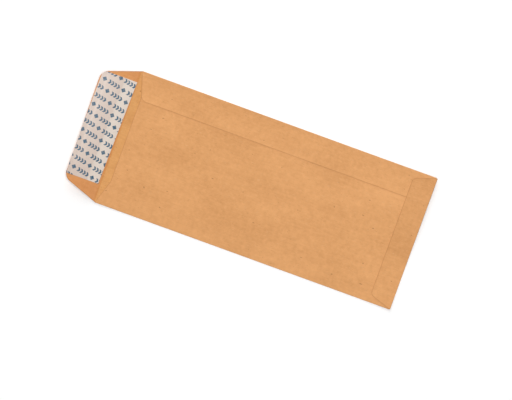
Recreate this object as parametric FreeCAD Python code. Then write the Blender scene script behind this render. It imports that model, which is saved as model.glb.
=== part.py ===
import FreeCAD, Part

import math
import os

# A long pocket envelope of brown kraft paper, open and empty, lying on its front face.
# One die-cut sheet makes the front panel, the two side flaps, the bottom flap and the closure flap.
# X runs from the mouth to the closed end, Y across the two side folds, and Z up from the table.
# The origin is the centre of the front face, between the crease and the closed end.

# Driving dimensions, in millimetres and degrees

# The folded sheet
BODY_LENGTH = 228.6  # from the crease of the closure flap to the closed end
BODY_WIDTH = 101.6  # over both side folds
PAPER_THICKNESS = 0.15
POCKET_GAP = 0.9  # free height inside the empty pocket
NARROW_FLAP_WIDTH = 20.6  # from its side fold to the edge that shows as the seam
SEAM_OVERLAP = 12.0  # how far the wide flap reaches under the narrow one
MOUTH_TAPER = 17.5  # degrees between the crease and the side flaps' mouth edges
THROAT_DEPTH = 6.0  # from the crease to the straight part of the wide flap's mouth edge
MOUTH_CORNER_RADIUS = 5.0
SIDE_FLAP_END_CLEARANCE = 0.5  # between the side flaps' ends and the bottom fold

# The bottom flap, gummed over both side flaps
BOTTOM_FLAP_DEPTH = 17.0
BOTTOM_FLAP_TAPER = 18.0  # degrees off the long direction
BOTTOM_FLAP_CORNER_RADIUS = 3.7

# The closure flap, open, with the spring of its crease holding it off the table
CLOSURE_FLAP_DEPTH = 28.0
CLOSURE_FLAP_TAPER = 20.0  # degrees off the long direction, from the body's corner to the flap's
CLOSURE_FLAP_CORNER_RADIUS = 6.8
CLOSURE_FLAP_RISE = 12.0  # degrees above the table
CREASE_INNER_RADIUS = 2.5

# The gum in the two seams
GUM_THICKNESS = 0.05
SIDE_GUM_WIDTH = 8.0
SIDE_GUM_MOUTH_MARGIN = 9.0  # from the wide flap's mouth edge to where the gum starts
BOTTOM_GUM_MARGIN = 2.5  # from the edges of the bottom flap to its gum

# The self-seal adhesive on the closure flap and the release liner that covers it
ADHESIVE_WIDTH = 12.8
ADHESIVE_THICKNESS = 0.08
ADHESIVE_EDGE_DISTANCE = 4.5  # from the outer edge of the flap to the adhesive
LINER_LENGTH = 80.0
LINER_WIDTH = 25.9
LINER_THICKNESS = 0.06
LINER_EDGE_MARGIN = 0.3  # from the outer edge of the flap to the liner
LINER_OFF_CENTRE = 2.2  # towards the narrow flap's side
LINER_SKEW = 0.7  # degrees that it is laid askew, nearer to the crease on the narrow flap's side

# Heights of the layers, from the table up
WIDE_FLAP_UNDERSIDE = PAPER_THICKNESS + POCKET_GAP
WIDE_FLAP_TOP = WIDE_FLAP_UNDERSIDE + PAPER_THICKNESS
NARROW_FLAP_UNDERSIDE = WIDE_FLAP_TOP + GUM_THICKNESS
NARROW_FLAP_TOP = NARROW_FLAP_UNDERSIDE + PAPER_THICKNESS
BOTTOM_FLAP_UNDERSIDE = NARROW_FLAP_TOP + GUM_THICKNESS
BOTTOM_FLAP_TOP = BOTTOM_FLAP_UNDERSIDE + PAPER_THICKNESS

# Each fold turns the paper over in a half circle whose outside is as high as the flap's top
WIDE_FOLD_RADIUS = WIDE_FLAP_TOP / 2
NARROW_FOLD_RADIUS = NARROW_FLAP_TOP / 2
BOTTOM_FOLD_RADIUS = BOTTOM_FLAP_TOP / 2
CREASE_OUTER_RADIUS = CREASE_INNER_RADIUS + PAPER_THICKNESS
CREASE_SETBACK = CREASE_OUTER_RADIUS * math.tan(math.radians(CLOSURE_FLAP_RISE / 2))

# Where the flat of the front panel ends on its four sides
CREASE_X = -BODY_LENGTH / 2
FLAT_START_X = CREASE_X + CREASE_SETBACK
FLAT_END_X = BODY_LENGTH / 2 - BOTTOM_FOLD_RADIUS
WIDE_SIDE_Y = -(BODY_WIDTH / 2 - WIDE_FOLD_RADIUS)
NARROW_SIDE_Y = BODY_WIDTH / 2 - NARROW_FOLD_RADIUS

# Where the side flaps end
SIDE_FLAP_END_X = FLAT_END_X - SIDE_FLAP_END_CLEARANCE
SEAM_Y = BODY_WIDTH / 2 - NARROW_FLAP_WIDTH
WIDE_FLAP_EDGE_Y = SEAM_Y + SEAM_OVERLAP
MOUTH_X = CREASE_X + THROAT_DEPTH
BOTTOM_FLAP_EDGE_X = BODY_LENGTH / 2 - BOTTOM_FLAP_DEPTH

# Where the closure flap ends before its crease lifts it
CLOSURE_FLAP_EDGE_X = FLAT_START_X - (CLOSURE_FLAP_DEPTH - CREASE_SETBACK)

TABLE_NORMAL = FreeCAD.Vector(0, 0, 1)
LONG_WAY = FreeCAD.Vector(1, 0, 0)
CROSS_WAY = FreeCAD.Vector(0, 1, 0)


def slope(degrees):
    """Sideways travel of a tapered edge for each millimetre along it."""
    return math.tan(math.radians(degrees))


def outline_face(corners):
    """A flat face at z = 0 through corners (x, y, radius), each rounded by its own radius."""
    points = [FreeCAD.Vector(x, y, 0) for x, y, _ in corners]
    edges = []
    ends = []
    for i, (_, _, radius) in enumerate(corners):
        corner = points[i]
        to_last = (points[i - 1] - corner).normalize()
        to_next = (points[(i + 1) % len(points)] - corner).normalize()
        if radius == 0:
            ends.append((corner, corner, None))
            continue
        half_angle = to_last.getAngle(to_next) / 2
        tangent_length = radius / math.tan(half_angle)
        bisector = (to_last + to_next).normalize()
        middle = corner + bisector * (radius / math.sin(half_angle) - radius)
        ends.append((corner + to_last * tangent_length, corner + to_next * tangent_length, middle))
    for i, (start, finish, middle) in enumerate(ends):
        if middle is not None:
            edges.append(Part.Arc(start, middle, finish).toShape())
        next_start = ends[(i + 1) % len(ends)][0]
        edges.append(Part.LineSegment(finish, next_start).toShape())
    return Part.Face(Part.Wire(edges))


def rectangle(low_x, high_x, low_y, high_y):
    """The corners of a rectangle, none of them rounded."""
    return [(low_x, low_y, 0), (high_x, low_y, 0), (high_x, high_y, 0), (low_x, high_y, 0)]


def layer(corners, underside, thickness):
    """A flat layer with that outline, from its underside up."""
    solid = outline_face(corners).extrude(TABLE_NORMAL * thickness)
    solid.translate(TABLE_NORMAL * underside)
    return solid


def fold(start, line, outer_radius, turn_axis, degrees):
    """The front panel's edge face along the fold line, turned up about an axis above it."""
    paper = TABLE_NORMAL * PAPER_THICKNESS
    edge_corners = [start, start + line, start + line + paper, start + paper, start]
    edge_face = Part.Face(Part.makePolygon(edge_corners))
    return edge_face.revolve(start + TABLE_NORMAL * outer_radius, turn_axis, degrees)


def front_panel():
    """The flat that lies on the table and shows as the front of the envelope."""
    return layer(rectangle(FLAT_START_X, FLAT_END_X, WIDE_SIDE_Y, NARROW_SIDE_Y), 0, PAPER_THICKNESS)


def wide_flap():
    """The side flap that makes most of the back, with its mouth edge cut back for the throat."""
    taper_run = (MOUTH_X - FLAT_START_X) / slope(MOUTH_TAPER)
    corners = [
        (FLAT_START_X, WIDE_SIDE_Y, 0),
        (SIDE_FLAP_END_X, WIDE_SIDE_Y, 0),
        (SIDE_FLAP_END_X, WIDE_FLAP_EDGE_Y, 0),
        (MOUTH_X, WIDE_FLAP_EDGE_Y, 0),
        (MOUTH_X, WIDE_SIDE_Y + taper_run, MOUTH_CORNER_RADIUS),
    ]
    return layer(corners, WIDE_FLAP_UNDERSIDE, PAPER_THICKNESS)


def narrow_flap():
    """The side flap that closes the back over the wide one, with one rounded corner at the mouth."""
    mouth_lean = (NARROW_SIDE_Y - SEAM_Y) * slope(MOUTH_TAPER)
    corners = [
        (FLAT_START_X, NARROW_SIDE_Y, 0),
        (FLAT_START_X + mouth_lean, SEAM_Y, MOUTH_CORNER_RADIUS),
        (SIDE_FLAP_END_X, SEAM_Y, 0),
        (SIDE_FLAP_END_X, NARROW_SIDE_Y, 0),
    ]
    return layer(corners, NARROW_FLAP_UNDERSIDE, PAPER_THICKNESS)


def bottom_flap():
    """The flap at the closed end, folded over both side flaps last."""
    taper_in = (FLAT_END_X - BOTTOM_FLAP_EDGE_X) * slope(BOTTOM_FLAP_TAPER)
    corners = [
        (FLAT_END_X, WIDE_SIDE_Y, 0),
        (FLAT_END_X, NARROW_SIDE_Y, 0),
        (BOTTOM_FLAP_EDGE_X, NARROW_SIDE_Y - taper_in, BOTTOM_FLAP_CORNER_RADIUS),
        (BOTTOM_FLAP_EDGE_X, WIDE_SIDE_Y + taper_in, BOTTOM_FLAP_CORNER_RADIUS),
    ]
    return layer(corners, BOTTOM_FLAP_UNDERSIDE, PAPER_THICKNESS)


def closure_flap_corners():
    """The closure flap's outline as cut, before the crease lifts it."""
    corner_y = BODY_WIDTH / 2 - CLOSURE_FLAP_DEPTH * slope(CLOSURE_FLAP_TAPER)
    return [
        (FLAT_START_X, WIDE_SIDE_Y, 0),
        (FLAT_START_X, NARROW_SIDE_Y, 0),
        (CLOSURE_FLAP_EDGE_X, corner_y, CLOSURE_FLAP_CORNER_RADIUS),
        (CLOSURE_FLAP_EDGE_X, -corner_y, CLOSURE_FLAP_CORNER_RADIUS),
    ]


def lifted(shape):
    """A shape made flat beside the crease, turned up with the closure flap."""
    crease_centre = FreeCAD.Vector(FLAT_START_X, 0, CREASE_OUTER_RADIUS)
    turned = shape.copy()
    turned.rotate(crease_centre, CROSS_WAY, CLOSURE_FLAP_RISE)
    return turned


def kraft_sheet():
    """The whole folded sheet as one solid of even thickness."""
    side_line = LONG_WAY * (SIDE_FLAP_END_X - FLAT_START_X)
    end_line = CROSS_WAY * (NARROW_SIDE_Y - WIDE_SIDE_Y)
    wide_corner = FreeCAD.Vector(FLAT_START_X, WIDE_SIDE_Y, 0)
    narrow_corner = FreeCAD.Vector(FLAT_START_X, NARROW_SIDE_Y, 0)
    closed_corner = FreeCAD.Vector(FLAT_END_X, WIDE_SIDE_Y, 0)
    wide_fold = fold(wide_corner, side_line, WIDE_FOLD_RADIUS, -LONG_WAY, 180)
    narrow_fold = fold(narrow_corner, side_line, NARROW_FOLD_RADIUS, LONG_WAY, 180)
    bottom_fold = fold(closed_corner, end_line, BOTTOM_FOLD_RADIUS, -CROSS_WAY, 180)
    crease = fold(wide_corner, end_line, CREASE_OUTER_RADIUS, CROSS_WAY, CLOSURE_FLAP_RISE)
    closure_flap = lifted(layer(closure_flap_corners(), 0, PAPER_THICKNESS))
    pieces = [
        wide_fold,
        wide_flap(),
        narrow_fold,
        narrow_flap(),
        bottom_fold,
        bottom_flap(),
        crease,
        closure_flap,
    ]
    return front_panel().fuse(pieces).removeSplitter()


def side_seam_gum():
    """The band of dried gum between the narrow flap and the wide one."""
    start_x = MOUTH_X + SIDE_GUM_MOUTH_MARGIN
    low_y = (SEAM_Y + WIDE_FLAP_EDGE_Y - SIDE_GUM_WIDTH) / 2
    band = rectangle(start_x, SIDE_FLAP_END_X, low_y, low_y + SIDE_GUM_WIDTH)
    return layer(band, WIDE_FLAP_TOP, GUM_THICKNESS)


def bottom_seam_gum():
    """The gum under the bottom flap, thicker where it reaches down beside the narrow flap."""
    start_x = BOTTOM_FLAP_EDGE_X + BOTTOM_GUM_MARGIN
    taper_in = (FLAT_END_X - BOTTOM_FLAP_EDGE_X) * slope(BOTTOM_FLAP_TAPER)
    low_y = WIDE_SIDE_Y + taper_in + BOTTOM_GUM_MARGIN
    high_y = NARROW_SIDE_Y - taper_in - BOTTOM_GUM_MARGIN
    over_wide_flap = rectangle(start_x, SIDE_FLAP_END_X, low_y, SEAM_Y)
    over_narrow_flap = rectangle(start_x, SIDE_FLAP_END_X, SEAM_Y, high_y)
    deep = layer(over_wide_flap, WIDE_FLAP_TOP, BOTTOM_FLAP_UNDERSIDE - WIDE_FLAP_TOP)
    thin = layer(over_narrow_flap, NARROW_FLAP_TOP, GUM_THICKNESS)
    return deep.fuse(thin).removeSplitter()


def strip_on_flap(edge_distance, width, underside, thickness):
    """A strip laid on the open closure flap, trimmed where it would pass the flap's outline."""
    outer_x = CLOSURE_FLAP_EDGE_X + edge_distance
    low_y = LINER_OFF_CENTRE - LINER_LENGTH / 2
    strip = outline_face(rectangle(outer_x, outer_x + width, low_y, low_y + LINER_LENGTH))
    pivot = FreeCAD.Vector((CREASE_X + CLOSURE_FLAP_EDGE_X) / 2, LINER_OFF_CENTRE, 0)
    strip.rotate(pivot, TABLE_NORMAL, -LINER_SKEW)
    trimmed = strip.common(outline_face(closure_flap_corners())).Faces[0]
    solid = trimmed.extrude(TABLE_NORMAL * thickness)
    solid.translate(TABLE_NORMAL * underside)
    return lifted(solid)


def flap_adhesive():
    """The band of pressure-sensitive adhesive that seals the flap once the liner is off."""
    return strip_on_flap(ADHESIVE_EDGE_DISTANCE, ADHESIVE_WIDTH, PAPER_THICKNESS, ADHESIVE_THICKNESS)


def release_liner():
    """The silicone-coated paper strip on the adhesive, wider than it so that a finger can lift it."""
    underside = PAPER_THICKNESS + ADHESIVE_THICKNESS
    return strip_on_flap(LINER_EDGE_MARGIN, LINER_WIDTH, underside, LINER_THICKNESS)


NODES = {
    "kraft_sheet": kraft_sheet,
    "side_seam_gum": side_seam_gum,
    "bottom_seam_gum": bottom_seam_gum,
    "flap_adhesive": flap_adhesive,
    "release_liner": release_liner,
}

os.makedirs("parts", exist_ok=True)
for name, make in NODES.items():
    shape = make()
    shape.exportStep(f"parts/{name}.step")
    print(name, shape.ShapeType, len(shape.Solids), "solid", shape.isValid(), round(shape.Volume, 2), "mm3")
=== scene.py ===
import math

import bmesh
import bpy
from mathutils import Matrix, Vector, noise
from mathutils.geometry import intersect_point_line


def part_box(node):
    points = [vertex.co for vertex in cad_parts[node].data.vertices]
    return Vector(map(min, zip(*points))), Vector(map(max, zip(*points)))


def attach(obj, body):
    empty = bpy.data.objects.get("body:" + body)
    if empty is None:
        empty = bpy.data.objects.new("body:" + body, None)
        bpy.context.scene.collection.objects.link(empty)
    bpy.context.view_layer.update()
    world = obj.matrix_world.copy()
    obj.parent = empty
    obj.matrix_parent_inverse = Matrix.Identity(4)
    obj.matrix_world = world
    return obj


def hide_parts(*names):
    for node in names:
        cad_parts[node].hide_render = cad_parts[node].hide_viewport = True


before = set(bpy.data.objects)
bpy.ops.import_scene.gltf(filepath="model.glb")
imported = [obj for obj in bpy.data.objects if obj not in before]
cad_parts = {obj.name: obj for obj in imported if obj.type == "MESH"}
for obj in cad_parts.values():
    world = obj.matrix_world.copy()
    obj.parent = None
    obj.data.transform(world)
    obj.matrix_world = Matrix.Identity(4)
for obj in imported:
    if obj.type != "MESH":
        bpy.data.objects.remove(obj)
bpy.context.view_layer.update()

# The kraft sheet
# The whole envelope is one die-cut blank of brown kraft paper. A folding machine creases it, turns in the
# wide side flap, gums the narrow one over it and the bottom flap over both, and leaves the closure flap open.

MM = 0.001
PAPER = 0.15 * MM
FOLD_GAP = 0.15 * MM  # left open inside the side folds, which the machine presses
GUM = 0.05 * MM
NARROW_FLAP_WIDTH = 20.6 * MM
SEAM_OVERLAP = 12.0 * MM
THROAT_DEPTH = 6.0 * MM
MOUTH_TAPER = math.radians(17.5)
MOUTH_CORNER_RADIUS = 5.0 * MM
SIDE_FLAP_END_CLEARANCE = 0.5 * MM
BOTTOM_FLAP_DEPTH = 17.0 * MM
BOTTOM_FLAP_TAPER = math.radians(18.0)
BOTTOM_CORNER_RADIUS = 3.7 * MM
CLOSURE_FLAP_DEPTH = 28.0 * MM
CLOSURE_FLAP_TAPER = math.radians(20.0)
CLOSURE_CORNER_RADIUS = 6.8 * MM
ROOT_CUT = 0.2 * MM  # how far the die cuts in at the crease

# The spring of the crease lifts the flap at once, more towards the wide flap's side, and the rest of the
# flap curls back towards the table
CREASE_TURN = math.radians(18.0)
CREASE_TWIST = math.radians(7.0)
CREASE_LENGTH = 0.6 * MM
FLAP_CURL = math.radians(-11.0)

# The closure flap lies beyond the crease, so the sheet's box gives the body's size only on its high side
_, body_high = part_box("kraft_sheet")
crease_x = -body_high.x
half_width = body_high.y

# Heights of the layers' tops at the pressed folds, and each side's half circle of folded paper
wide_top = 2 * PAPER + FOLD_GAP
narrow_top = wide_top + GUM + PAPER
bottom_top = narrow_top + GUM + PAPER
wide_arc = math.pi * (wide_top - PAPER) / 2
narrow_arc = math.pi * (narrow_top - PAPER) / 2
bottom_arc = math.pi * (bottom_top - PAPER) / 2

# Where the flat of the front panel ends on its four sides
flat_start = crease_x + CREASE_LENGTH / 2
flat_end = body_high.x - bottom_top / 2
wide_side = -(half_width - wide_top / 2)
narrow_side = half_width - narrow_top / 2

# Edges of the flaps where they lie when folded
side_end = flat_end - SIDE_FLAP_END_CLEARANCE
seam_y = half_width - NARROW_FLAP_WIDTH
wide_edge_y = seam_y + SEAM_OVERLAP
mouth_x = crease_x + THROAT_DEPTH
bottom_edge_x = body_high.x - BOTTOM_FLAP_DEPTH

# The same edges on the blank, before folding
wide_edge_t = wide_side - wide_arc - (wide_edge_y - wide_side)
narrow_edge_t = narrow_side + narrow_arc + (narrow_side - seam_y)
bottom_edge_s = flat_end + bottom_arc + (flat_end - bottom_edge_x)
closure_edge_s = crease_x - CLOSURE_FLAP_DEPTH

mouth_run = (mouth_x - flat_start) / math.tan(MOUTH_TAPER)
narrow_lean = (narrow_side - seam_y) * math.tan(MOUTH_TAPER)
bottom_taper_in = (flat_end - bottom_edge_x) * math.tan(BOTTOM_FLAP_TAPER)
closure_corner_y = half_width - CLOSURE_FLAP_DEPTH * math.tan(CLOSURE_FLAP_TAPER)

# Corners of the flat blank as (s, t, radius), with its outer face down: on the front panel s is x and t is y
closure_root_y = half_width - ROOT_CUT
closure_outline = [
    (flat_start, closure_root_y, 0),
    (closure_edge_s, closure_corner_y, CLOSURE_CORNER_RADIUS),
    (closure_edge_s, -closure_corner_y, CLOSURE_CORNER_RADIUS),
    (flat_start, -closure_root_y, 0),
]
blank_outline = closure_outline + [
    (flat_start, wide_side - wide_arc, 0),
    (mouth_x, wide_side - wide_arc - mouth_run, MOUTH_CORNER_RADIUS),
    (mouth_x, wide_edge_t, 0),
    (side_end, wide_edge_t, 0),
    (side_end, wide_side, 0),
    (flat_end + bottom_arc, wide_side, 0),
    (bottom_edge_s, wide_side + bottom_taper_in, BOTTOM_CORNER_RADIUS),
    (bottom_edge_s, narrow_side - bottom_taper_in, BOTTOM_CORNER_RADIUS),
    (flat_end + bottom_arc, narrow_side, 0),
    (side_end, narrow_side, 0),
    (side_end, narrow_edge_t, 0),
    (flat_start + narrow_lean, narrow_edge_t, MOUTH_CORNER_RADIUS),
    (flat_start, narrow_side + narrow_arc, 0),
]


CORNER_STEPS = 10
MERGE_DISTANCE = 0.001 * MM


def cut_outline(corners):
    """A flat sheet with this outline of (s, t, radius) corners, as the die cuts it."""
    bm = bmesh.new()
    verts = [bm.verts.new((s, t, 0)) for s, t, _ in corners]
    bm.faces.new(verts)
    bm.normal_update()
    for i, (_, _, radius) in enumerate(corners):
        if radius == 0:
            continue
        corner = verts[i].co
        last_way = Vector(corners[i - 1]).xy - corner.xy
        next_way = Vector(corners[(i + 1) % len(corners)]).xy - corner.xy
        tangent = radius / math.tan(last_way.angle(next_way) / 2)
        bmesh.ops.bevel(
            bm, geom=[verts[i]], offset=tangent, offset_type="OFFSET", segments=CORNER_STEPS,
            profile=0.5, affect="VERTICES", material=-1,
        )
    return bm


def rule(bm, axis, special, spacing):
    """Cuts the sheet along lines across an axis: the special places, and even ones between them."""
    places = [v.co[axis] for v in bm.verts]
    stops = sorted({min(places), max(places)} | {p for p in special if min(places) < p < max(places)})
    lines = []
    for low, high in zip(stops, stops[1:]):
        steps = max(1, math.ceil((high - low) / spacing))
        lines += [low + (high - low) * k / steps for k in range(steps)]
    normal = Vector((axis == 0, axis == 1, 0))
    for line in lines[1:]:
        everything = bm.verts[:] + bm.edges[:] + bm.faces[:]
        bmesh.ops.bisect_plane(
            bm, geom=everything, dist=MERGE_DISTANCE, plane_co=normal * line, plane_no=normal
        )


def rule_beside(bm, start, finish, distances, low, high):
    """Cuts lines beside one straight edge, only across the part of the sheet between two corners."""
    along = (Vector(finish) - Vector(start)).normalized()
    inward = Vector((-along.y, along.x, 0))
    for distance in distances:
        faces = []
        for face in bm.faces:
            middle = face.calc_center_median()
            if low[0] < middle.x < high[0] and low[1] < middle.y < high[1]:
                faces.append(face)
        edges = list({edge for face in faces for edge in face.edges})
        verts = list({vert for face in faces for vert in face.verts})
        place = Vector(start) + inward * distance
        bmesh.ops.bisect_plane(
            bm, geom=verts + edges + faces, dist=MERGE_DISTANCE, plane_co=place, plane_no=inward
        )


def measure_from_cuts(bm, cuts):
    """Remembers how far each point is from the nearest cut edge of the blank, in millimetres."""
    edge_mm = bm.verts.layers.float.new("edge_mm")
    for v in bm.verts:
        distances = []
        for start, finish in cuts:
            share = intersect_point_line(v.co, start, finish)[1]
            distances.append((v.co - start.lerp(finish, min(max(share, 0.0), 1.0))).length)
        v[edge_mm] = min(distances) / MM


def give_thickness(bm, thickness):
    """Remembers where each point is on the blank, in millimetres, and makes the sheet a thin slab."""
    blank_mm = bm.verts.layers.float_vector.new("blank_mm")
    for v in bm.verts:
        v[blank_mm] = v.co / MM
    grown = bmesh.ops.extrude_face_region(bm, geom=bm.faces[:], use_keep_orig=True)["geom"]
    top = [g for g in grown if isinstance(g, bmesh.types.BMVert)]
    bmesh.ops.translate(bm, verts=top, vec=(0, 0, thickness))
    bmesh.ops.recalc_face_normals(bm, faces=bm.faces[:])


def rolled(distance, height, stretches):
    """Rolls paper up along stretches of (length, turn): how far along and how high a point ends up.
    distance runs along the paper's middle, and height is above its lower face."""
    along, up, heading = 0.0, PAPER / 2, 0.0
    for length, turn in stretches:
        step = min(distance, length)
        turned = turn * step / length
        chord = step * (math.sin(turned / 2) / (turned / 2) if turned else 1.0)
        along += chord * math.cos(heading + turned / 2)
        up += chord * math.sin(heading + turned / 2)
        heading += turned
        distance -= step
    lift = height - PAPER / 2
    return along - lift * math.sin(heading), up + lift * math.cos(heading)


FAR = 1.0  # the last stretch runs on, past the end of any flap
wide_roll = [(wide_arc, math.pi), (FAR, 0)]
narrow_roll = [(narrow_arc, math.pi), (FAR, 0)]
bottom_roll = [(bottom_arc, math.pi), (FAR, 0)]


def ease(value):
    """0 below 0, 1 above 1, and smooth between."""
    value = min(max(value, 0.0), 1.0)
    return value * value * (3 - 2 * value)


def near(distance, reach):
    """1 at an edge, dying away over about this reach from it."""
    return math.exp(-max(distance, 0.0) / reach)


# How far the paper springs, sags and ripples away from flat, and how far in from an edge or a corner it does
CORNER_LIFT = 1.2 * MM
CORNER_REACH = 14 * MM
NARROW_CORNER_SHARE = 0.8
NARROW_CORNER_REACH = 26 * MM
END_LIFT = 2.2 * MM
END_REACH = 28 * MM
MOUTH_LIFT = 1.2 * MM
MOUTH_REACH = 18 * MM
TABLE_WANDER = 0.12 * MM
FOLD_SPRING = 0.55 * MM
FOLD_REACH = 8 * MM
BELLY = 0.5 * MM
LIP_DROP = 0.4 * MM
LIP_REACH = 24 * MM
RIPPLE = 0.32 * MM
RIPPLE_REACH = 6 * MM
EDGE_LIFT = 0.3 * MM
EDGE_REACH = 0.9 * MM
STEP_SAG = 0.13 * MM
FLAP_TIP_LIFT = 0.3 * MM
FLAP_EDGE_CURL = 0.35 * MM
FLAP_WAVE = 0.5 * MM


def wave(x, y, length, width, seed):
    """Smooth undulation of the paper, from about -1 to 1, drawn out along the envelope."""
    return noise.noise(Vector((x / length, y / width, seed)))


def lie(x, y):
    """How far the whole envelope is off the table at this place: its corners and edges lift a little."""
    to_end = body_high.x - x
    to_wide = y + half_width
    to_narrow = half_width - y
    lift = CORNER_LIFT * near(math.hypot(to_end, to_wide), CORNER_REACH)
    lift += NARROW_CORNER_SHARE * CORNER_LIFT * near(math.hypot(to_end, to_narrow), NARROW_CORNER_REACH)
    lift += END_LIFT * near(to_end, END_REACH) * ease((to_wide - 25 * MM) / (50 * MM))
    lift += MOUTH_LIFT * near(math.hypot(x - crease_x, to_wide), MOUTH_REACH)
    wander = 0.5 + 0.5 * wave(x, y, 80 * MM, 60 * MM, 5.3)
    return lift + TABLE_WANDER * wander


def crown(x, y):
    """How far the back stands above the pressed folds: sprung open by them, and lower again at the mouth."""
    to_side = min(y - wide_side, narrow_side - y)
    to_end = flat_end - x
    from_mouth = x - mouth_x
    inside = (1 - near(to_side, FOLD_REACH)) * (1 - near(to_end, FOLD_REACH))
    swell = FOLD_SPRING * inside * (0.9 + 1.1 * wave(x, y, 45 * MM, 200 * MM, 4.4))
    swell += BELLY * ease(to_side / (46 * MM)) * ease(to_end / (60 * MM)) * ease(from_mouth / (50 * MM))
    swell -= LIP_DROP * inside * (1 - ease(from_mouth / LIP_REACH))
    ripple = wave(x, y, 75 * MM, 21 * MM, 3.1) + 0.4 * wave(x, y, 30 * MM, 11 * MM, 8.2)
    return swell + RIPPLE * ripple * (1 - near(to_side, RIPPLE_REACH)) * (1 - near(to_end, RIPPLE_REACH))


def wide_shape(x, y):
    """The wide flap's mouth edge curls up a little, except where the narrow flap holds it down."""
    mouth = min(mouth_x, flat_start + (y - wide_side) * math.tan(MOUTH_TAPER))
    free = ease((y - wide_side) / (6 * MM)) * ease((seam_y - y - 1 * MM) / (5 * MM))
    return crown(x, y) + 0.3 * EDGE_LIFT * near(x - mouth, EDGE_REACH) * free


def narrow_shape(x, y):
    """The narrow flap's edges lift where the gum doesn't reach, most along its mouth edge."""
    sag = STEP_SAG * ease((y - wide_edge_y) / (1.6 * MM)) * ease((narrow_side - y) / (3 * MM))
    dry = 0.4 + 0.5 * wave(x, y, 28 * MM, 200 * MM, 7.7)
    lift = near(y - seam_y, EDGE_REACH) * EDGE_LIFT * dry
    from_mouth = x - flat_start - (narrow_side - y) * math.tan(MOUTH_TAPER)
    mouth_lift = 1.6 * EDGE_LIFT * near(from_mouth, 1.3 * EDGE_REACH) * ease((narrow_side - y) / (6 * MM))
    return crown(x, y) + max(lift, mouth_lift) - sag


def bottom_shape(x, y):
    """The bottom flap steps down from the narrow flap to the wide one, and its edges lift a little."""
    sag = STEP_SAG * ease((seam_y - y) / (1.5 * MM)) * ease((flat_end - x) / (2 * MM))
    from_taper = min(y - wide_side, narrow_side - y) - (flat_end - x) * math.tan(BOTTOM_FLAP_TAPER)
    lift = EDGE_LIFT * near(min(x - bottom_edge_x, from_taper), 1.0 * MM) * ease((flat_end - x) / (5 * MM))
    return crown(x, y) + 0.7 * lift - sag


def closure_shape(x, y):
    """The open flap waves slightly, more towards its outer edge."""
    reach = (flat_start - x) / CLOSURE_FLAP_DEPTH
    tip = FLAP_TIP_LIFT * ease(reach) * ease((-y - 15 * MM) / (30 * MM))
    from_taper = half_width - (flat_start - x) * math.tan(CLOSURE_FLAP_TAPER) - y
    curl = FLAP_EDGE_CURL * ease(reach * 3) * near(from_taper, 2.5 * MM)
    return tip + curl + FLAP_WAVE * reach * wave(x, y, 60 * MM, 34 * MM, 1.7)


def folded(s, t, w):
    """Where a point of the blank lies on the finished envelope. w is its height above the outer face."""
    if s < flat_start - MERGE_DISTANCE:
        turn = CREASE_TURN + CREASE_TWIST * ease(0.5 - t / (2 * half_width))
        closure_roll = [(CREASE_LENGTH, turn), (CLOSURE_FLAP_DEPTH, FLAP_CURL), (FAR, 0)]
        along, up = rolled(flat_start - s, w, closure_roll)
        x, y = flat_start - along, t
        return Vector((x, y, up + lie(flat_start, y) + closure_shape(x, y)))
    if s > flat_end:
        along, up = rolled(s - flat_end, w, bottom_roll)
        x, y = flat_end + along, t
        return Vector((x, y, up + lie(x, y) + (bottom_shape(x, y) if x < flat_end else 0)))
    if t < wide_side:
        along, up = rolled(wide_side - t, w, wide_roll)
        x, y = s, wide_side - along
        return Vector((x, y, up + lie(x, y) + (wide_shape(x, y) if y > wide_side else 0)))
    if t > narrow_side:
        along, up = rolled(t - narrow_side, w, narrow_roll)
        x, y = s, narrow_side + along
        return Vector((x, y, up + lie(x, y) + (narrow_shape(x, y) if y < narrow_side else 0)))
    return Vector((s, t, w + lie(s, t)))


def fold_slab(bm):
    """Takes every point of the flat slab to its place on the finished envelope."""
    blank_mm = bm.verts.layers.float_vector["blank_mm"]
    for v in bm.verts:
        s, t = v[blank_mm].xy * MM
        v.co = folded(s, t, v.co.z)


SHARP_ANGLE = math.radians(50)


def finish_piece(bm, name, node, slot, *materials):
    """Makes the mesh a piece with sharp cut edges, which stands for its CAD node."""
    for face in bm.faces:
        face.smooth = True
    for edge in bm.edges:
        edge.smooth = edge.calc_face_angle(0) < SHARP_ANGLE
    # Extruding leaves the walls along the cuts in no fixed order, so all faces are put in order of place
    in_order = sorted(bm.faces, key=lambda face: tuple(face.calc_center_median()))
    for i, face in enumerate(in_order):
        face.index = i
    bm.faces.sort()
    mesh = bpy.data.meshes.new(name)
    bm.to_mesh(mesh)
    bm.free()
    piece = bpy.data.objects.new(name, mesh)
    bpy.context.scene.collection.objects.link(piece)
    for material in materials:
        mesh.materials.append(material)
    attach(piece, "root")
    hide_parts(node)


# The sheet is cut fine where it folds, close beside its cut edges, and evenly elsewhere
CREASE_STEPS = 4
FOLD_STEPS = 8
CLOSE_LINES = [0.5 * MM, 1.1 * MM, 1.9 * MM, 3.0 * MM, 4.5 * MM]
SHEET_SPACING = 2.4 * MM

s_lines = [flat_start, flat_end, side_end, mouth_x]
s_lines += [flat_start - CREASE_LENGTH * k / CREASE_STEPS for k in range(1, CREASE_STEPS + 1)]
s_lines += [flat_end + bottom_arc * k / FOLD_STEPS for k in range(1, FOLD_STEPS + 1)]
s_lines += [flat_end - d for d in CLOSE_LINES] + [flat_end + bottom_arc + d for d in CLOSE_LINES]
s_lines += [mouth_x + d for d in CLOSE_LINES] + [bottom_edge_s - d for d in CLOSE_LINES[:3]]

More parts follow.
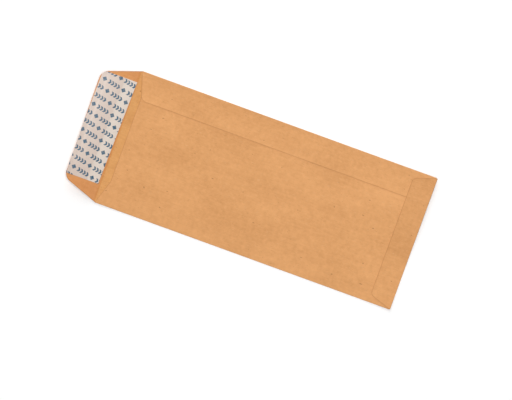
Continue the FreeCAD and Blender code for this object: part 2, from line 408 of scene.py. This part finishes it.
t_lines = [wide_side, narrow_side]
t_lines += [wide_side - wide_arc * k / FOLD_STEPS for k in range(1, FOLD_STEPS + 1)]
t_lines += [narrow_side + narrow_arc * k / FOLD_STEPS for k in range(1, FOLD_STEPS + 1)]
t_lines += [wide_side - wide_arc - d for d in CLOSE_LINES] + [wide_side + d for d in CLOSE_LINES[2:]]
t_lines += [narrow_side + narrow_arc + d for d in CLOSE_LINES] + [narrow_side - d for d in CLOSE_LINES[2:]]
t_lines += [narrow_edge_t - d for d in CLOSE_LINES] + [seam_y - d for d in (0, 0.5 * MM, 1.0 * MM, 1.6 * MM)]


def linear(hex_colour, alpha=1.0):
    """An sRGB hex colour as the linear values that a shader takes."""
    channels = [int(hex_colour[i : i + 2], 16) / 255 for i in (1, 3, 5)]
    return [c / 12.92 if c <= 0.04045 else ((c + 0.055) / 1.055) ** 2.4 for c in channels] + [alpha]


def add(material, kind, inputs=None, **settings):
    """Adds a node with its settings and links. An input is a number, a colour, a socket, or a node, which
    stands for its first output."""
    tree = material.node_tree
    node = tree.nodes.new(kind)
    for name, value in settings.items():
        setattr(node, name, value)
    for name, value in (inputs or {}).items():
        if isinstance(value, bpy.types.Node):
            value = value.outputs[0]
        if isinstance(value, bpy.types.NodeSocket):
            tree.links.new(value, node.inputs[name])
        else:
            node.inputs[name].default_value = value
    return node


def new_material(name):
    """A material without nodes, to which each finish adds its own."""
    material = bpy.data.materials.new(name)
    material.use_nodes = True
    material.node_tree.nodes.clear()
    return material


def kraft_paper(name, dark, light, roughness, seed):
    """Unbleached kraft paper, machine made: long fibres lie mostly along the sheet. Close to, it shows soft
    clouds where the pulp is thicker, pale and dark single fibres, and now and then a brown fleck of bark.
    The flap's inside is painted a shade warmer and darker, as painted shade and warm bounce light, and darker
    still along the crease, as painted shade."""
    material = new_material(name)
    # Places on the flat blank are in millimetres, so a scale is one over the size of a feature in millimetres
    blank = add(material, "ShaderNodeAttribute", attribute_name="blank_mm").outputs["Vector"]
    shift = (seed * 31.7, seed * 17.3, seed)
    place = add(material, "ShaderNodeMapping", {"Vector": blank, "Location": shift})

    def patches(size_mm, detail, stretch=1.0, turn=0.0):
        """Noise with features of this size, stretched along the fibres."""
        scale = (1 / (size_mm * stretch), 1 / size_mm, 1)
        at = add(material, "ShaderNodeMapping", {"Vector": place, "Rotation": (0, 0, turn), "Scale": scale})
        inputs = {"Vector": at, "Scale": 1.0, "Detail": detail, "Roughness": 0.55}
        return add(material, "ShaderNodeTexNoise", inputs)

    def sum_of(first, second, weight):
        """first plus weight times second, measured from its middle."""
        off = add(material, "ShaderNodeMath", {0: second, 1: 0.5}, operation="SUBTRACT")
        return add(material, "ShaderNodeMath", {0: off, 1: weight, 2: first}, operation="MULTIPLY_ADD")

    def mixed(below, factor, strength, above, blend_type="MIX"):
        """below with a colour laid over it where the factor says."""
        amount = add(material, "ShaderNodeMath", {0: factor, 1: strength}, operation="MULTIPLY")
        inputs = {0: amount, 6: below, 7: linear(above)}
        return add(material, "ShaderNodeMix", inputs, data_type="RGBA", blend_type=blend_type).outputs[2]

    # Fibres are laid down wet, so each one bends with the flow, by a millimetre or so over 3 mm
    flow = add(material, "ShaderNodeTexNoise", {"Vector": place, "Scale": 1 / 3, "Detail": 1.0})
    inputs = {0: flow.outputs["Color"], 1: (2.2, 2.2, 0), 2: place}
    bent = add(material, "ShaderNodeVectorMath", inputs, operation="MULTIPLY_ADD")

    def strands(turn, size_mm, length, width, share):
        """Single fibres: a thin oval in a share of the cells of a stretched cell pattern, no two as wide."""
        scale = (1 / (size_mm * length), 1 / size_mm, 1)
        at = add(material, "ShaderNodeMapping", {"Vector": bent, "Rotation": (0, 0, turn), "Scale": scale})
        cells = add(material, "ShaderNodeTexVoronoi", {"Vector": at, "Scale": 1.0}, voronoi_dimensions="2D")
        chance = add(material, "ShaderNodeSeparateColor", {"Color": cells.outputs["Color"]})
        pick, weight, _ = chance.outputs
        weight = add(material, "ShaderNodeMath", {0: weight, 1: 0.5}, operation="ADD")
        distance = add(material, "ShaderNodeMath", {0: cells, 1: weight}, operation="DIVIDE")
        limits = {"Value": distance, "From Min": width, "From Max": width * 0.4}
        inside = add(material, "ShaderNodeMapRange", limits)
        chosen = add(material, "ShaderNodeMath", {0: pick, 1: share}, operation="LESS_THAN")
        return add(material, "ShaderNodeMath", {0: inside, 1: chosen}, operation="MULTIPLY")

    # Pulp clouds of 2 to 5 mm, broad tone over 30 to 50 mm, and faint streaks along the web
    tone = patches(5.0, 5.0)
    tone = sum_of(tone, patches(2.2, 3.0), 0.8)
    tone = sum_of(tone, patches(28.0, 1.0, 1.8), 1.3)
    tone = sum_of(tone, patches(1.3, 2.0, 12.0), 0.5)
    ramp = add(material, "ShaderNodeValToRGB", {"Fac": tone})
    ramp.color_ramp.elements[0].position = 0.0
    ramp.color_ramp.elements[0].color = linear(dark)
    ramp.color_ramp.elements[1].position = 1.0
    ramp.color_ramp.elements[1].color = linear(light)
    colour = ramp.outputs["Color"]

    # Fibres are 2 to 3 mm long and drawn about 0.15 mm wide, coarser than real ones, so that they show
    pale_fibre, dark_fibre, bark = "#dcb487", "#99632f", "#7d5029"
    pale = strands(0.3, 0.6, 12.0, 0.13, 0.45)
    colour = mixed(colour, pale, 0.3, pale_fibre)
    for turn, size_mm, length, width, share, strength, shade in [
        (-0.7, 0.8, 9.0, 0.11, 0.35, 0.3, pale_fibre),
        (1.4, 1.0, 8.0, 0.1, 0.35, 0.25, pale_fibre),
        (0.05, 0.9, 10.0, 0.11, 0.35, 0.3, dark_fibre),
        (-1.1, 1.3, 8.0, 0.08, 0.3, 0.25, dark_fibre),
        (0.8, 9.0, 1.7, 0.045, 0.25, 0.55, bark),
        (0.3, 3.1, 2.4, 0.05, 0.2, 0.35, bark),
    ]:
        colour = mixed(colour, strands(turn, size_mm, length, width, share), strength, shade)

    # The flap lies past the start of the crease. Its inside is painted warmer and a little darker, as painted
    # shade and warm bounce light, and darker still in a band 1.5 mm wide along the crease, as painted shade
    # where the paper curves up
    start_mm = flat_start / MM
    s_mm = add(material, "ShaderNodeSeparateXYZ", {"Vector": blank})
    edges = {"Value": s_mm, "From Min": start_mm - 0.2, "From Max": start_mm - 0.8}
    on_flap = add(material, "ShaderNodeMapRange", edges)
    edges = {"Value": s_mm, "From Min": start_mm - 2.4, "From Max": start_mm - 0.9}
    painted_crease_shade = add(material, "ShaderNodeMapRange", edges)
    painted_crease_shade = add(material, "ShaderNodeMath", {0: painted_crease_shade, 1: on_flap}, operation="MULTIPLY")
    # Painted shade and warm bounce light over the flap, then painted shade along the crease
    colour = mixed(colour, on_flap, 1.0, "#fffbfc", "MULTIPLY")
    colour = mixed(colour, on_flap, 1.0, "#38000c", "ADD")
    colour = mixed(colour, painted_crease_shade, 1.0, "#f9f4e5", "MULTIPLY")

    # Every cut edge is darkened in a band up to half a millimetre wide. This is partly the knife's burr of
    # crushed fibres and partly painted shade for the thin shadow lines along the flaps' edges
    from_cut = add(material, "ShaderNodeAttribute", attribute_name="edge_mm").outputs["Fac"]
    burr_and_painted_shade = add(material, "ShaderNodeMapRange", {"Value": from_cut, "From Min": 0.5, "From Max": 0.1})
    colour = mixed(colour, burr_and_painted_shade, 0.35, "#8a5a2c")

    # The felt's fine tooth of 0.35 mm, the pale fibres and soft cockles of 1.6 mm stand up from the surface
    relief = sum_of(patches(0.35, 3.0, 2.5, 0.3), pale, 0.6)
    relief = sum_of(relief, patches(1.6, 2.0, 1.5), 0.8)
    bump = add(material, "ShaderNodeBump", {"Height": relief, "Strength": 0.25, "Distance": 0.12 * MM})
    surface = {"Base Color": colour, "Roughness": roughness, "IOR": 1.5, "Normal": bump}
    surface["Specular IOR Level"] = 0.3
    paper = add(material, "ShaderNodeBsdfPrincipled", surface)
    add(material, "ShaderNodeOutputMaterial", {"Surface": paper})
    return material


# The outside is smoothed against a polished drum; the inside is rougher and a shade deeper in colour
kraft_outside = kraft_paper("kraft_paper_outside", "#ca8f57", "#e0a369", 0.72, 3)
kraft_inside = kraft_paper("kraft_paper_inside", "#c78c52", "#dca163", 0.82, 2)

sheet = cut_outline(blank_outline)
cuts = [tuple(v.co.copy() for v in edge.verts) for edge in sheet.edges]
rule(sheet, 0, s_lines, SHEET_SPACING)
rule(sheet, 1, t_lines, SHEET_SPACING)
wide_root = wide_side - wide_arc
narrow_root = narrow_side + narrow_arc
rule_beside(
    sheet, (flat_start, wide_root, 0), (mouth_x, wide_root - mouth_run, 0), CLOSE_LINES[:3],
    (flat_start, wide_root - mouth_run - 2 * MM), (mouth_x + 6 * MM, wide_root),
)
rule_beside(
    sheet, (flat_start + narrow_lean, narrow_edge_t, 0), (flat_start, narrow_root, 0), CLOSE_LINES[:3],
    (flat_start, narrow_root), (flat_start + narrow_lean + 6 * MM, narrow_edge_t),
)
measure_from_cuts(sheet, cuts)
give_thickness(sheet, PAPER)
# The upper face of the blank becomes the inside of the envelope
for face in sheet.faces:
    face.material_index = 1 if face.calc_center_median().z > PAPER * 0.9 else 0
fold_slab(sheet)
finish_piece(sheet, "folded_kraft_sheet", "kraft_sheet", "kraft_paper", kraft_outside, kraft_inside)

# The gum in the two seams
# Both seams are held by water-based gum, rolled on in a band and dried to a thin amber film between the
# flaps. It shows only at the cut edges of the flaps, if at all.

SIDE_GUM_WIDTH = 8.0 * MM
SIDE_GUM_MOUTH_MARGIN = 9.0 * MM
BOTTOM_GUM_MARGIN = 2.5 * MM
GUM_SPACING = 3 * MM


def dried_gum():
    """Dried dextrin gum: amber, slightly glossy, uneven where the roller left it."""
    material = new_material("dried_dextrin_gum")
    place = add(material, "ShaderNodeTexCoord").outputs["Object"]
    # Roller marks about 3 mm apart: Object coordinates are in metres
    film = add(material, "ShaderNodeTexNoise", {"Vector": place, "Scale": 1 / (3 * MM), "Detail": 3.0})
    ramp = add(material, "ShaderNodeValToRGB", {"Fac": film})
    ramp.color_ramp.elements[0].color = linear("#b98a4e")
    ramp.color_ramp.elements[1].color = linear("#d8b27a")
    bump = add(material, "ShaderNodeBump", {"Height": film, "Strength": 0.3, "Distance": 0.03 * MM})
    surface = {"Base Color": ramp, "Roughness": 0.4, "IOR": 1.47, "Normal": bump}
    gum = add(material, "ShaderNodeBsdfPrincipled", surface)
    add(material, "ShaderNodeOutputMaterial", {"Surface": gum})
    return material


def gum_film(low_x, high_x, low_y, high_y, heights):
    """A film between two flaps; heights gives its lower and upper face at a place."""
    bm = cut_outline([(low_x, low_y, 0), (high_x, low_y, 0), (high_x, high_y, 0), (low_x, high_y, 0)])
    rule(bm, 0, [], GUM_SPACING)
    rule(bm, 1, [seam_y - 1.6 * MM, seam_y - 0.8 * MM, seam_y], GUM_SPACING)
    give_thickness(bm, GUM)
    for v in bm.verts:
        lower, upper = heights(v.co.x, v.co.y)
        v.co.z = (upper if v.co.z > GUM / 2 else lower) + lie(v.co.x, v.co.y)
    return bm


def side_gum_heights(x, y):
    """Rests on the wide flap, in an even film."""
    lower = wide_top + wide_shape(x, y)
    return lower, lower + GUM


def bottom_gum_heights(x, y):
    """From whichever side flap is on top there to just under the bottom flap."""
    upper = bottom_top - PAPER + bottom_shape(x, y)
    if y > seam_y:
        return narrow_top + narrow_shape(x, y), upper
    return wide_top + wide_shape(x, y), upper


gum_material = dried_gum()
side_gum_y = (seam_y + wide_edge_y - SIDE_GUM_WIDTH) / 2
side_gum = gum_film(
    mouth_x + SIDE_GUM_MOUTH_MARGIN, side_end, side_gum_y, side_gum_y + SIDE_GUM_WIDTH, side_gum_heights
)
finish_piece(side_gum, "side_seam_gum_film", "side_seam_gum", "dried_gum", gum_material)
bottom_gum = gum_film(
    bottom_edge_x + BOTTOM_GUM_MARGIN, side_end,
    wide_side + bottom_taper_in + BOTTOM_GUM_MARGIN, narrow_side - bottom_taper_in - BOTTOM_GUM_MARGIN,
    bottom_gum_heights,
)
finish_piece(bottom_gum, "bottom_seam_gum_film", "bottom_seam_gum", "dried_gum", gum_material)

# The self-seal adhesive
# A band of soft rubber-based adhesive, coated hot across the inside of the closure flap. The liner hides
# it, and it shows only as a slightly raised band through the liner.

ADHESIVE_WIDTH = 12.8 * MM
ADHESIVE = 0.08 * MM
ADHESIVE_EDGE_DISTANCE = 4.5 * MM
LINER_LENGTH = 79.0 * MM
LINER_OFF_CENTRE = 2.2 * MM
LINER_SKEW = math.radians(1.25)
ADHESIVE_SPACING = 1.5 * MM

# The adhesive and the liner are laid together, so they share their middle, their ends and their angle
strip_pivot = Vector(((crease_x + closure_edge_s) / 2, LINER_OFF_CENTRE, 0))
skew_along = Vector((math.sin(LINER_SKEW), math.cos(LINER_SKEW), 0))
skew_across = Vector((math.cos(LINER_SKEW), -math.sin(LINER_SKEW), 0))


def strip_place(s, t):
    """A place on the flap as (across, along) of the skewed strips, from their middle."""
    offset = Vector((s, t, 0)) - strip_pivot
    return offset.dot(skew_across), offset.dot(skew_along)


def strip_on_flap(edge_distance, width, spacing):
    """The closure flap's outline, cut back to a strip that is laid on it askew and cut square at its ends."""
    bm = cut_outline(closure_outline)
    low = closure_edge_s + edge_distance - strip_pivot.x
    square = Vector((0, 1, 0))
    sides = [
        (skew_across * low, -skew_across),
        (skew_across * (low + width), skew_across),
        (square * (LINER_LENGTH / 2), square),
        (-square * (LINER_LENGTH / 2), -square),
    ]
    for offset, outward in sides:
        everything = bm.verts[:] + bm.edges[:] + bm.faces[:]
        bmesh.ops.bisect_plane(
            bm, geom=everything, dist=MERGE_DISTANCE, plane_co=strip_pivot + offset, plane_no=outward,
            clear_outer=True,
        )
    rule(bm, 0, [], spacing)
    rule(bm, 1, [], spacing)
    return bm


adhesive_low = closure_edge_s + ADHESIVE_EDGE_DISTANCE - strip_pivot.x


def soft_adhesive():
    """Hot-melt adhesive: pale amber, glossy and slightly wavy."""
    material = new_material("hot_melt_adhesive")
    place = add(material, "ShaderNodeTexCoord").outputs["Object"]
    # Coating waves about 2 mm apart
    waves = add(material, "ShaderNodeTexNoise", {"Vector": place, "Scale": 1 / (2 * MM), "Detail": 2.0})
    ramp = add(material, "ShaderNodeValToRGB", {"Fac": waves})
    ramp.color_ramp.elements[0].color = linear("#dcb98c")
    ramp.color_ramp.elements[1].color = linear("#ead2ae")
    bump = add(material, "ShaderNodeBump", {"Height": waves, "Strength": 0.4, "Distance": 0.05 * MM})
    surface = {"Base Color": ramp, "Roughness": 0.25, "IOR": 1.48, "Normal": bump}
    glue = add(material, "ShaderNodeBsdfPrincipled", surface)
    add(material, "ShaderNodeOutputMaterial", {"Surface": glue})
    return material


adhesive = strip_on_flap(ADHESIVE_EDGE_DISTANCE, ADHESIVE_WIDTH, ADHESIVE_SPACING)
give_thickness(adhesive, ADHESIVE)
bmesh.ops.translate(adhesive, verts=adhesive.verts[:], vec=(0, 0, PAPER))
fold_slab(adhesive)
finish_piece(adhesive, "flap_adhesive_band", "flap_adhesive", "adhesive", soft_adhesive())

# The release liner
# A strip of silicone-coated paper that keeps the adhesive fresh until the flap is sealed. It is wider than
# the adhesive, so its inner edge can be picked up, and the adhesive shows through it as a faint band.

LINER_WIDTH = 26.4 * MM
LINER = 0.06 * MM
LINER_EDGE_MARGIN = 0.1 * MM
LINER_CLEARANCE = 0.01 * MM
LINER_LIFT = 0.35 * MM
LINER_OUTER_LIFT = 0.2 * MM
LINER_CORNER_LIFT = 1.2 * MM
LINER_DRAPE = 0.7 * MM
LINER_SPACING = 0.8 * MM

# The print, in millimetres: slanted rows, in which four chevrons and a lozenge come by turns
ROW_PITCH = 6.6
ROW_SLANT = math.radians(12)
ROW_SHIFT = 6.2
REPEAT = 16.0
CELL_START = -6.0
CHEVRON_PITCH = 2.4
CHEVRON_HALF_STROKE = 0.75
CHEVRON_HALF_HEIGHT = 1.6
CHEVRON_LEAN = 0.7
HALF_GROUP = 4.8
LOZENGE_AT = 7.5
LOZENGE_REACH = 1.9


def drape(s, t):
    """Height of the liner's underside over the flap: it follows the adhesive, and lifts at its free edge and
    at the outer corner on the wide flap's side."""
    across, along = strip_place(s, t)
    from_outer = across - adhesive_low
    past_inner = from_outer - ADHESIVE_WIDTH
    over = ease(from_outer / LINER_DRAPE + 0.5) * (1 - ease(past_inner / LINER_DRAPE - 0.5))
    free = ease((past_inner - 1 * MM) / (8 * MM))
    lift = LINER_LIFT * free * (0.7 + 0.6 * wave(along, across, 22 * MM, 30 * MM, 6.6))
    outer = ease((-from_outer - 0.5 * MM) / (4 * MM))
    lift += LINER_OUTER_LIFT * outer * (0.6 + 0.6 * wave(along, across, 26 * MM, 30 * MM, 2.4))
    to_corner = math.hypot(from_outer + ADHESIVE_EDGE_DISTANCE, along + LINER_LENGTH / 2)
    lift += LINER_CORNER_LIFT * near(to_corner - 2 * MM, 4 * MM)
    return LINER_CLEARANCE + ADHESIVE * 1.3 * max(over, 0.25) + lift


def printed_liner():
    """Silicone-coated glassine: pinkish white, smooth with a soft gloss, a touch darker over the adhesive.
    It is printed in flat dark blue ink before it is coated."""
    material = new_material("siliconised_glassine")
    place = add(material, "ShaderNodeAttribute", attribute_name="blank_mm").outputs["Vector"]

    # Each row is cut into cells of one repeat, and each row's cells are shifted against the last row's
    turned = add(material, "ShaderNodeMapping", {"Vector": place, "Rotation": (0, 0, ROW_SLANT)})
    along, across, _ = add(material, "ShaderNodeSeparateXYZ", {"Vector": turned}).outputs
    inputs = {0: across, 1: ROW_PITCH / 2, 2: -ROW_PITCH / 2}
    in_row = add(material, "ShaderNodeMath", inputs, operation="WRAP")
    row = add(material, "ShaderNodeMath", {0: across, 1: in_row}, operation="SUBTRACT")
    inputs = {0: row, 1: ROW_SHIFT / ROW_PITCH, 2: along}
    shifted = add(material, "ShaderNodeMath", inputs, operation="MULTIPLY_ADD")
    inputs = {0: shifted, 1: CELL_START + REPEAT, 2: CELL_START}
    in_cell = add(material, "ShaderNodeMath", inputs, operation="WRAP")

    # Chevrons are stripes across the row that lean back from its middle
    height = add(material, "ShaderNodeMath", {0: in_row}, operation="ABSOLUTE")
    inputs = {0: height, 1: CHEVRON_LEAN, 2: in_cell}
    leaned = add(material, "ShaderNodeMath", inputs, operation="MULTIPLY_ADD")
    inputs = {0: leaned, 1: CHEVRON_PITCH, 2: 0.0}
    stripe = add(material, "ShaderNodeMath", inputs, operation="WRAP")
    inputs = {0: stripe, 1: CHEVRON_PITCH / 2, 2: CHEVRON_HALF_STROKE}
    stroke = add(material, "ShaderNodeMath", inputs, operation="COMPARE")
    group = add(material, "ShaderNodeMath", {0: leaned, 1: 0.0, 2: HALF_GROUP}, operation="COMPARE")
    inputs = {0: in_row, 1: 0.0, 2: CHEVRON_HALF_HEIGHT}
    tall = add(material, "ShaderNodeMath", inputs, operation="COMPARE")
    chevrons = add(material, "ShaderNodeMath", {0: stroke, 1: group}, operation="MULTIPLY")
    chevrons = add(material, "ShaderNodeMath", {0: chevrons, 1: tall}, operation="MULTIPLY")

    # A lozenge is where the ways along and across the row from its middle add up to little
    from_middle = add(material, "ShaderNodeMath", {0: in_cell, 1: LOZENGE_AT}, operation="SUBTRACT")
    sideways = add(material, "ShaderNodeMath", {0: from_middle}, operation="ABSOLUTE")
    reach = add(material, "ShaderNodeMath", {0: sideways, 1: height}, operation="ADD")
    lozenge = add(material, "ShaderNodeMath", {0: reach, 1: LOZENGE_REACH}, operation="LESS_THAN")
    print_here = add(material, "ShaderNodeMath", {0: chevrons, 1: lozenge}, operation="MAXIMUM")

    # Ink takes unevenly on the coated paper, in patches of about 1.5 mm
    patchy = add(material, "ShaderNodeTexNoise", {"Vector": place, "Scale": 1 / 1.5, "Detail": 3.0})
    limits = {"Value": patchy, "From Min": 0.3, "From Max": 0.7, "To Min": 0.75, "To Max": 1.0}
    take = add(material, "ShaderNodeMapRange", limits)
    ink = add(material, "ShaderNodeMath", {0: print_here, 1: take}, operation="MULTIPLY")

    # The band from the outer edge to the adhesive's inner side, cloudy where the liner doesn't quite touch it
    inner_mm = (adhesive_low + ADHESIVE_WIDTH + strip_pivot.x) / MM
    s_mm, t_mm, _ = add(material, "ShaderNodeSeparateXYZ", {"Vector": place}).outputs
    inputs = {0: t_mm, 1: -math.sin(LINER_SKEW), 2: s_mm}
    skewed = add(material, "ShaderNodeMath", inputs, operation="MULTIPLY_ADD")
    limits = {"Value": skewed, "From Min": inner_mm + 0.6, "From Max": inner_mm - 0.6}
    band = add(material, "ShaderNodeMapRange", limits)
    clouds = add(material, "ShaderNodeTexNoise", {"Vector": place, "Scale": 1 / 7, "Detail": 3.0})
    clouds = add(material, "ShaderNodeMath", {0: clouds, 1: 0.8, 2: 0.5}, operation="MULTIPLY_ADD")
    warm = add(material, "ShaderNodeMath", {0: band, 1: clouds}, operation="MULTIPLY")
    inputs = {0: warm, 6: linear("#ddd0c4"), 7: linear("#d1bfb3")}
    base = add(material, "ShaderNodeMix", inputs, data_type="RGBA").outputs[2]
    inputs = {0: ink, 6: base, 7: linear("#185470")}
    colour = add(material, "ShaderNodeMix", inputs, data_type="RGBA").outputs[2]

    # The coating cockles the thin paper in waves of about 2.5 mm
    creases = add(material, "ShaderNodeTexNoise", {"Vector": place, "Scale": 1 / 2.5, "Detail": 2.0})
    bump = add(material, "ShaderNodeBump", {"Height": creases, "Strength": 0.2, "Distance": 0.1 * MM})
    surface = {"Base Color": colour, "Roughness": 0.42, "IOR": 1.45, "Normal": bump}
    liner_paper = add(material, "ShaderNodeBsdfPrincipled", surface)
    add(material, "ShaderNodeOutputMaterial", {"Surface": liner_paper})
    return material


liner = strip_on_flap(LINER_EDGE_MARGIN, LINER_WIDTH, LINER_SPACING)
give_thickness(liner, LINER)
liner_mm = liner.verts.layers.float_vector["blank_mm"]
for v in liner.verts:
    v.co.z += PAPER + drape(*(v[liner_mm].xy * MM))
fold_slab(liner)
finish_piece(liner, "release_liner_strip", "release_liner", "liner_paper", printed_liner())

# The floor, the lights and the camera
# A plain sheet of pale card lies under a soft light overhead, with a larger one from the far side that shows
# the relief and gives faint wide shadows. The camera looks straight down from far above.

FLOOR_HALF_SIZE = 2.5
FLOOR_DROP = 0.03 * MM  # keeps the floor clear of the paper that lies on it

floor_bm = bmesh.new()
bmesh.ops.create_grid(floor_bm, x_segments=1, y_segments=1, size=FLOOR_HALF_SIZE)
bmesh.ops.translate(floor_bm, verts=floor_bm.verts[:], vec=(0, 0, -FLOOR_DROP))
floor_mesh = bpy.data.meshes.new("floor")
floor_bm.to_mesh(floor_mesh)
floor_bm.free()
floor = bpy.data.objects.new("floor", floor_mesh)
bpy.context.scene.collection.objects.link(floor)

# White card, uncoated and matt, so it takes soft shadows and mirrors nothing
floor_material = new_material("white_card")
card = add(floor_material, "ShaderNodeBsdfPrincipled", {"Base Color": linear("#fafafa"), "Roughness": 0.9})
add(floor_material, "ShaderNodeOutputMaterial", {"Surface": card})
floor_mesh.materials.append(floor_material)

# Places measured in the photograph, which is 512 by 400 pixels
PHOTO_WIDTH_PX = 512
PHOTO_CENTRE_PX = Vector((256.0, 200.0))
BODY_CENTRE_PX = Vector((266.0, 190.3))
BODY_LENGTH_PX = 314.4
BODY_TURN = math.radians(20.0)

metres_per_px = 2 * body_high.x / BODY_LENGTH_PX
right = Vector((math.cos(BODY_TURN), math.sin(BODY_TURN), 0))
upward = Vector((-math.sin(BODY_TURN), math.cos(BODY_TURN), 0))
offset_px = PHOTO_CENTRE_PX - BODY_CENTRE_PX
centre = (right * offset_px.x - upward * offset_px.y) * metres_per_px

CAMERA_HEIGHT = 2.5
SENSOR_MM = 36.0
camera_data = bpy.data.cameras.new("camera")
camera_data.sensor_width = SENSOR_MM
camera_data.lens = SENSOR_MM * CAMERA_HEIGHT / (PHOTO_WIDTH_PX * metres_per_px)
camera = bpy.data.objects.new("camera", camera_data)
camera.location = centre + Vector((0, 0, CAMERA_HEIGHT))
camera.rotation_euler = (0, 0, BODY_TURN)
bpy.context.scene.collection.objects.link(camera)
bpy.context.scene.camera = camera


def area_light(name, place, size, watts):
    """A square soft box that points at the envelope."""
    data = bpy.data.lights.new(name, "AREA")
    data.shape = "SQUARE"
    data.size = size
    data.energy = watts
    light = bpy.data.objects.new(name, data)
    light.location = place
    light.rotation_euler = (-place).to_track_quat("-Z", "Y").to_euler()
    bpy.context.scene.collection.objects.link(light)


area_light("side_soft_box", upward * 3.2 - right * 0.4 + Vector((0, 0, 2.7)), 4.3, 94.0)
area_light("overhead_soft_box", centre + Vector((0, 0, 4.0)), 1.6, 122.0)

# The white room around them fills the shadows a little
world = bpy.data.worlds.new("studio")
world.use_nodes = True
world.node_tree.nodes["Background"].inputs["Color"].default_value = linear("#ffffff")
world.node_tree.nodes["Background"].inputs["Strength"].default_value = 0.093
bpy.context.scene.world = world
bpy.context.scene.view_settings.view_transform = "Standard"
